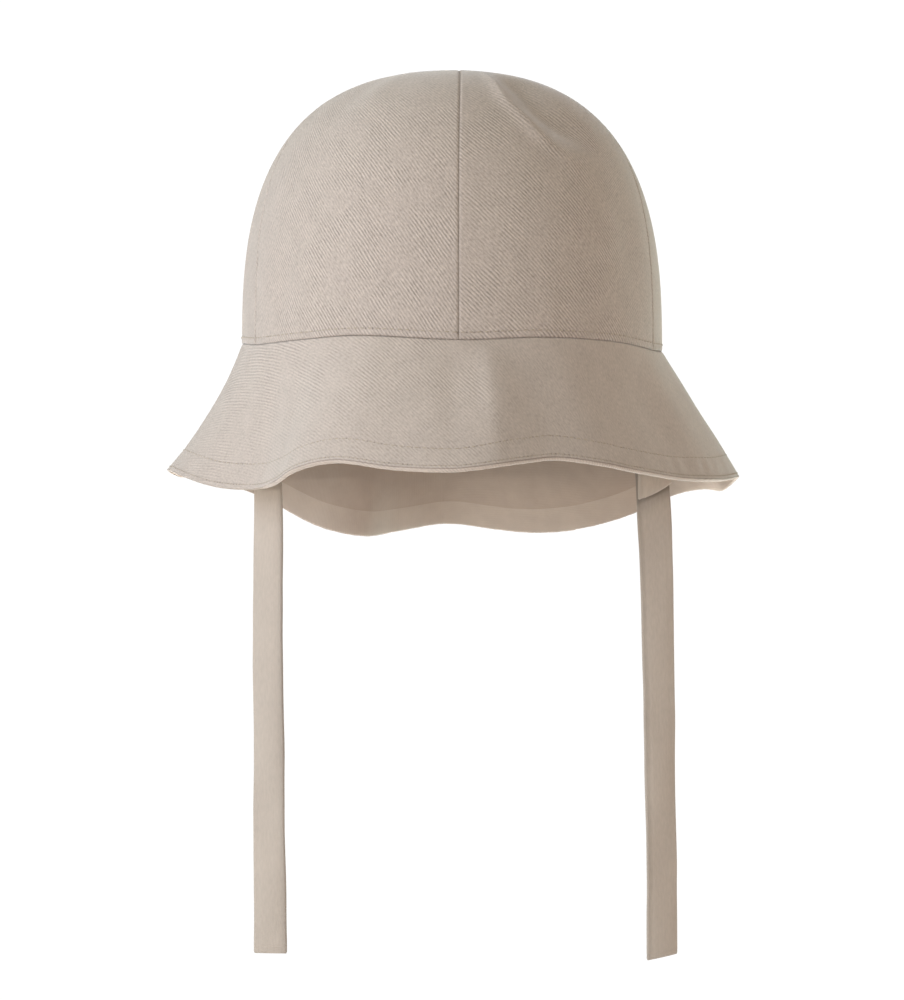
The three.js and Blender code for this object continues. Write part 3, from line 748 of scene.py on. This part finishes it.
class SUNHAT_OT_crown(bpy.types.Operator):
    """Build the four panels of the crown"""

    bl_idname = "sunhat.crown"
    bl_label = "Crown panels"

    def execute(self, context):
        size = context.scene.sun_hat_sizes
        materials = [
            twill_of(
                "cotton twill, crown", 1.0, CROWN_TINT, ["topstitch"], 0.3,
                [("Z", 72, 90, 0.25), ("X", 48, 66, 0.3), ("X", -48, -68, 0.45)],
            ),
            # Reverse side: darker and warmer, painted shade of the hat's inside
            twill_of("cotton twill, reverse side in painted shade", 0.06, SHADED_REVERSE_TINT),
        ]

        def left(rise):
            return -side_seam_azimuth(size, rise)

        def right(rise):
            return side_seam_azimuth(size, rise)

        def back(rise):
            return 180 + 0 * rise

        def far_back(rise):
            return -180 + 0 * rise

        # Name, seam on the left and on the right, slope of the twill lines, grain, seam gap, columns
        panels = [
            ("crown_panel_front_left", left, front_seam_azimuth, 54, 1, (-1, -1), 120),
            ("crown_panel_front_right", front_seam_azimuth, right, 45, 0, (1, -1), 120),
            ("crown_panel_back_right", right, back, 50, 0.5, (1, 1), 130),
            ("crown_panel_back_left", far_back, left, 50, 0.5, (-1, 1), 130),
        ]
        for name, from_seam, to_seam, slope, grain, away, columns in panels:
            panel = crown_panel(size, name, from_seam, to_seam, slope, grain, away, columns, materials)
        return {"FINISHED"}


class SUNHAT_OT_brim(bpy.types.Operator):
    """Build the brim and the facing under its edge"""

    bl_idname = "sunhat.brim"
    bl_label = "Brim and facing"

    def execute(self, context):
        size = context.scene.sun_hat_sizes
        materials = [
            twill_of(
                "cotton twill, brim", 0.72, BRIM_TINT, ["hem_stitch", "edge_stitch"], 0.4,
                [("X", 8, 20, 0.15), ("Z", -14, -36, 0.5)],
            ),
            # Reverse side: darker and warmer, painted shade of the hat's inside
            twill_of("cotton twill, reverse side in painted shade", 0.06, SHADED_REVERSE_TINT),
        ]
        azimuth = np.linspace(-180, 180, BRIM_COLUMNS + 1)[:, None]
        share = crowded(BRIM_DOWN, "both")[None, :]
        tuck, edge = lip_tuck(azimuth), brim_length(size, azimuth)
        cloth_end = edge + (0.75 + 0.4 * tuck) * MM
        along = share * cloth_end
        outer_face = brim_point(size, azimuth, along)
        inner_face = brim_point(size, azimuth, along, size.cloth_thickness)
        rings = np.concatenate([outer_face, inner_face[:, ::-1]], axis=1)[:-1]
        cloth = brim_cloth_map(size, np.broadcast_to(azimuth, along.shape), along)
        below = edge - along
        # Seam map: up from the cloth's end (none where the lip is tucked) and down from the brim seam, for
        # painted shade
        maps = {"cloth": cloth, "seam": np.stack([cloth_end - along + 9 * MM * tuck, along], axis=-1) / MM}
        rows = [
            ("hem_stitch", size.facing_width - HEM_INSET, size.stitch), ("edge_stitch", EDGE_ROW, EDGE_PITCH),
        ]
        for key, row, pitch in rows:
            stitches = np.interp(azimuth, *walk_round(size, row)) / pitch
            maps[key] = np.stack([np.broadcast_to(stitches, below.shape), (below - row) / MM], axis=-1)
        maps = {key: both_faces(value) for key, value in maps.items()}
        brim = ring_piece("brim_cloth", rings, maps, materials, True, (0, BRIM_DOWN - 1))
        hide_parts("brim")

        plain = [
            # Facing's lip: lighter, a painted highlight of the light it catches from below
            twill_of("cotton twill, facing's lip in painted highlight", 0.4, LIP_HIGHLIGHT_TINT),
            twill_of("cotton twill, inner side of the facing", 0.06, INNER_FACING_TINT),
        ]
        # Section of the facing: way down past the brim's edge, depth under the brim's face, in mm
        top, lip = -size.facing_width / MM, 1.25
        section = np.array([
            (top, 1.0), (top + 3, 1.04), (top + 6, 1.06), (-1, 1.06), (0.3, 1.06), (0.7, 1.04),
            (0.81, 0.9), (0.81, 0.5), (0.84, 0.2), (0.92, 0.06), (1.02, 0.06), (1.14, 0.18),
            (lip - 0.02, 0.45), (lip, 0.9), (lip - 0.06, 1.3), (1.0, 1.62), (0.5, 1.8), (-1, 1.86),
            (top + 6, 1.7), (top + 4, 1.45), (top + 2, 1.2), (top + 0.6, 1.06), (top + 0.12, 1.02),
            (top + 0.02, 1.01),
        ])
        past, depth = section[None, :, 0], section[None, :, 1] * MM
        thin = 1 - 0.5 * tuck - 0.22 * np.clip((azimuth - 24) / 16, 0, 1) * (azimuth < 150)
        in_lip = past > 0.9
        along = edge + MM * past * np.where(in_lip, thin, 1 - 0.5 * tuck * (past > 0))
        place = np.interp(azimuth, *walk_round(size, 0))
        rough = 1 + ripple(place, 5.5 * MM, 1.3) + 0.7 * ripple(place, 1.9 * MM, 2.9)
        wobble = 0.07 * MM * rough * in_lip
        faces = brim_point(size, azimuth, along + wobble, depth)
        cloth = brim_cloth_map(size, np.broadcast_to(azimuth, along.shape), along + depth)
        cloth = np.concatenate([cloth, cloth[:, :1]], axis=1)
        facing = ring_piece(
            "brim_facing_cloth", faces[:-1], {"cloth": cloth}, plain, True, (4, 16)
        )
        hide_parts("brim_facing")
        return {"FINISHED"}


def tie_path(size, side, rows, pleat):
    """The way of a tie's middle line: down from the seam and out by the table's shares. The pleated one
    first goes down in front, folds back up behind itself, and folds down again. Returns the distance
    walked, points, the direction across the tape, the fold lines' slant and the way down in mm."""
    azimuth = side * side_seam_azimuth(size, np.array([0.0]))
    outward = outward_at(size, azimuth)[0]
    inset = size.cloth_thickness + 0.5 * MM + size.tie_thickness / 2
    sewn = seam_point(size, azimuth)[0] - outward * inset
    seam_turn = 90 - math.degrees(math.atan2(-outward[1], outward[0] * side))
    way = np.array([*(PLEATED_WAY if pleat else PLAIN_WAY), (size.tie_length / MM, 0, 0)])
    steps = np.linalg.norm(np.diff(way[:, :2], axis=0), axis=-1)
    along = np.concatenate([[0], np.cumsum(steps)])
    table = np.concatenate([along[:, None], way], axis=1)
    count = 460 if pleat else 300
    t = np.linspace(0, along[-1], count)
    down, forward, slant = (smooth(table, k, t) for k in (1, 2, 3))
    share = np.clip(down * MM / size.tie_length, 0, 1)
    turned = np.radians(np.minimum(seam_turn, smooth(rows, 2, share))) * side
    out = smooth(rows, 1, share) * size.tie_width * side
    across = np.stack([np.cos(turned), np.sin(turned), 0 * turned], axis=-1)
    back = np.stack([-np.sin(turned), np.cos(turned), 0 * turned], axis=-1)
    middle = sewn + np.stack([out, 0 * out, -down * MM], axis=-1) - back * (forward * MM)[:, None]
    return t * MM, middle, across, slant, down


def tie_piece(size, name, side, rows, pleat, end_slant, material):
    """A tie: the section of a flat folded tape, round at its two long edges, carried along its path and
    kept square to it. The last two millimetres are pressed flat by the seam that closes the end."""
    walk, middle, across, slant, down = tie_path(size, side, rows, pleat)
    tangent = unit(np.gradient(middle, walk, axis=0))
    through = unit(np.cross(across, tangent))
    left = walk[-1] - walk
    half = size.tie_width / 2 * (1 - 0.05 * np.exp(-((left / (0.35 * MM)) ** 2)))
    half = half + 0.06 * MM * ripple(walk, 23 * MM, 1.5 + side)
    thick = size.tie_thickness / 2 * (1 - 0.5 * np.exp(-(((left - 1.5 * MM) / (0.4 * MM)) ** 2)))
    thick = thick * (1 - 0.55 * np.exp(-((left / (0.3 * MM)) ** 2)))
    bend = np.linspace(-math.pi / 2, math.pi / 2, 7)
    straight = np.linspace(1, -1, 13)[1:-1]
    a = np.concatenate([1 + 0 * bend, straight, -1 + 0 * bend, -straight])
    round_a = np.concatenate([np.cos(bend), 0 * straight, -np.cos(bend), 0 * straight])
    b = np.concatenate([np.sin(bend), 1 + 0 * straight, -np.sin(bend), -1 + 0 * straight])
    crease = 1 - 0.3 * np.exp(-(((np.abs(a) - 0.86) / 0.05) ** 2)) * (np.abs(a) < 0.999)
    radius = size.tie_thickness / 2
    side_way = a[None, :] * (half - radius)[:, None] + round_a[None, :] * radius
    through_way = (b * crease)[None, :] * thick[:, None]
    bow = 0.4 * MM * (side_way / size.tie_width * 2) ** 2 * (1 + ripple(walk, 61 * MM, 0.8 + side))[:, None]
    points = (
        middle[:, None, :]
        + across[:, None, :] * side_way[..., None]
        + through[:, None, :] * (through_way + bow)[..., None]
    )
    end = np.exp(-((left / (3 * MM)) ** 2)) * end_slant / size.tie_width * side
    points[..., 2] += side_way * (slant[:, None] + end[:, None])
    around = np.linspace(0, 1, points.shape[1] + 1) * (2 * size.tie_width)
    cloth = np.stack(np.broadcast_arrays(around[None, :], walk[:, None]), axis=-1) / MM
    # Ways in from the tie's inner edge, and down from the pleat's lower edge, for the tape's painted
    # shade and shadow; far where the pleat casts no shadow
    inner = size.tie_width / 2 + np.concatenate([side_way, side_way[:, :1]], axis=1) * side
    under = (down - PLEAT_END)[:, None] * MM + PLEAT_SLANT * (inner - size.tie_width / 2)
    under = np.where((walk > 70 * MM)[:, None] & pleat, under, 99 * MM)
    maps = {"cloth": cloth, "shade": np.stack([inner, under], axis=-1) / MM}
    tie = ring_piece(name + "_cloth", points, maps, [material], False)
    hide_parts(name)
    return tie


class SUNHAT_OT_ties(bpy.types.Operator):
    """Build the two ties that hang at the sides"""

    bl_idname = "sunhat.ties"
    bl_label = "Ties"

    def execute(self, context):
        size = context.scene.sun_hat_sizes
        material = cotton_tape(context.scene.sun_hat_colours)
        tie_piece(size, "tie_left", -1, LEFT_TIE_ROWS, False, 0, material)
        tie_piece(size, "tie_right", 1, RIGHT_TIE_ROWS, True, 2 * MM, material)
        return {"FINISHED"}


class SUNHAT_OT_stitches(bpy.types.Operator):
    """Sew the visible rows of stitches: above the brim seam, at the hem and along the edge"""

    bl_idname = "sunhat.stitches"
    bl_label = "Rows of stitches"

    def execute(self, context):
        size = context.scene.sun_hat_sizes
        material = sewing_thread(context.scene.sun_hat_colours)
        azimuth = stitches_on(*walk_round(size), size.stitch)
        rise = TOPSTITCH_RISE / (size.crown_height * math.pi / 2) + 0 * azimuth
        centres = crown_point(size, azimuth, rise)
        along = unit(crown_point(size, azimuth + 0.2, rise) - crown_point(size, azimuth - 0.2, rise))
        climb = crown_point(size, azimuth, rise + 0.004) - centres
        outward = unit(np.cross(along, climb))
        span, width, height = 0.66 * size.stitch, 0.34 * MM, 0.2 * MM
        thread_row("crown_topstitch", centres, along, outward, span, width, height, material)
        rows = [
            ("hem_stitches", size.facing_width - HEM_INSET, size.stitch, 0.3 * MM),
            ("edge_stitches", EDGE_ROW, EDGE_PITCH, 0.24 * MM),
        ]
        for name, row, pitch, width in rows:
            azimuth = stitches_on(*walk_round(size, row), pitch)
            at = brim_length(size, azimuth) - row
            centres = brim_point(size, azimuth, at)
            along = unit(
                brim_point(size, azimuth + 0.2, brim_length(size, azimuth + 0.2) - row)
                - brim_point(size, azimuth - 0.2, brim_length(size, azimuth - 0.2) - row)
            )
            climb = brim_point(size, azimuth, at - 1.5 * MM) - brim_point(size, azimuth, at + 1.5 * MM)
            outward = unit(np.cross(along, climb))
            thread_row(name, centres, along, outward, 0.66 * pitch, width, 0.16 * MM, material)
        return {"FINISHED"}


class SUNHAT_OT_stage(bpy.types.Operator):
    """Set up the floor, the soft studio light and the camera"""

    bl_idname = "sunhat.stage"
    bl_label = "Floor, light and camera"

    def execute(self, context):
        scene = context.scene
        radius = np.linspace(0, FLOOR_RADIUS, 5)
        angle = np.linspace(0, 2 * math.pi, 97)[:-1]
        grid = radius[:, None, None] * np.stack([np.cos(angle), np.sin(angle), 0 * angle], axis=-1)[None]
        grid[..., 2] += FLOOR_HEIGHT
        mesh = bpy.data.meshes.new("floor")
        wide = grid_faces(5, 97)
        row, column = np.divmod(wide, 97)
        index = np.where(row == 0, 0, row * 96 + column % 96)
        rims, fan = index[96:], index[:96][:, [0, 3, 2]][:, ::-1]
        used, flat = np.unique(np.concatenate([rims.ravel(), fan.ravel()]), return_inverse=True)
        faces = flat[: rims.size].reshape(-1, 4)[:, ::-1].tolist() + flat[rims.size :].reshape(-1, 3).tolist()
        mesh.from_pydata(grid.reshape(-1, 3)[used].tolist(), [], faces)
        floor = bpy.data.objects.new("floor", mesh)
        context.collection.objects.link(floor)
        material, tree, shader = new_material("matt white paper", {"Roughness": 0.9})
        place = add_node(tree, "TexCoord")["Object"]
        fibre = add_node(tree, "TexNoise", {"Vector": place, "Scale": 60.0})["Fac"]
        dark, pale = shades(scene.sun_hat_colours.floor, 0.01)[0], list(scene.sun_hat_colours.floor)
        mixed = add_node(tree, "Mix", {0: fibre, 6: dark, 7: pale}, data_type="RGBA")[2]
        tree.links.new(mixed, shader.inputs["Base Color"])
        mesh.materials.append(material)

        world = bpy.data.worlds.new("white studio")
        scene.world = world
        world.use_nodes = True
        tree = world.node_tree
        tree.nodes.clear()
        # The camera sees plain white behind the floor, and the hat gets the studio's own light
        ray = add_node(tree, "LightPath")["Is Camera Ray"]
        strength = add_node(tree, "MapRange", {"Value": ray, "To Min": WORLD_LIGHT, "To Max": 1.05})[0]
        tint = add_node(tree, "Mix", {0: ray, 6: WORLD_TINT, 7: (1, 1, 1, 1)}, data_type="RGBA")[2]
        sky = add_node(tree, "Background", {"Color": tint, "Strength": strength})[0]
        add_node(tree, "OutputWorld", {"Surface": sky})

        for name, place, across, high, power, tint in LIGHTS:
            data = bpy.data.lights.new(name, "AREA")
            data.shape, data.size, data.size_y = "RECTANGLE", across, high
            data.energy, data.color = power, tint
            lamp = bpy.data.objects.new(name, data)
            lamp.visible_camera = False
            lamp.location = place
            lamp.rotation_euler = (Vector((0, 0, -0.01)) - Vector(place)).to_track_quat("-Z", "Y").to_euler()
            context.collection.objects.link(lamp)

        camera = bpy.data.cameras.new("camera")
        camera.sensor_fit, camera.sensor_height, camera.lens = "VERTICAL", 24, 24 * 1350 / 350
        viewer = bpy.data.objects.new("camera", camera)
        rise, turned = math.radians(CAMERA_RISE), math.radians(CAMERA_TURN)
        viewer.location = CAMERA_AIM - CAMERA_DISTANCE * Vector(
            (math.cos(rise) * math.sin(turned), math.cos(rise) * math.cos(turned), math.sin(rise))
        )
        viewer.rotation_euler = (CAMERA_AIM - viewer.location).to_track_quat("-Z", "Y").to_euler()
        context.collection.objects.link(viewer)
        scene.camera = viewer
        scene.view_settings.view_transform = "Standard"
        return {"FINISHED"}


class SUNHAT_PT_panel(bpy.types.Panel):
    """Lists what builds the hat"""

    bl_idname = "SUNHAT_PT_panel"
    bl_label = "Sun hat"
    bl_space_type = "VIEW_3D"
    bl_region_type = "UI"
    bl_category = "Sun hat"

    def draw(self, context):
        scene = context.scene
        for group in (scene.sun_hat_sizes, scene.sun_hat_colours):
            for key in group.__annotations__:
                self.layout.prop(group, key)
        for operator in OPERATORS:
            self.layout.operator(operator.bl_idname)


OPERATORS = (
    SUNHAT_OT_crown, SUNHAT_OT_brim, SUNHAT_OT_ties, SUNHAT_OT_stitches, SUNHAT_OT_stage,
)
CLASSES = (SunHatSizes, SunHatColours, *OPERATORS, SUNHAT_PT_panel)


def register():
    for cls in CLASSES:
        bpy.utils.register_class(cls)
    bpy.types.Scene.sun_hat_sizes = bpy.props.PointerProperty(type=SunHatSizes)
    bpy.types.Scene.sun_hat_colours = bpy.props.PointerProperty(type=SunHatColours)


def unregister():
    del bpy.types.Scene.sun_hat_colours
    del bpy.types.Scene.sun_hat_sizes
    for cls in reversed(CLASSES):
        bpy.utils.unregister_class(cls)


def main():
    register()
    bpy.ops.sunhat.crown()
    bpy.ops.sunhat.brim()
    bpy.ops.sunhat.ties()
    bpy.ops.sunhat.stitches()
    bpy.ops.sunhat.stage()


if __name__ == "__main__":
    main()
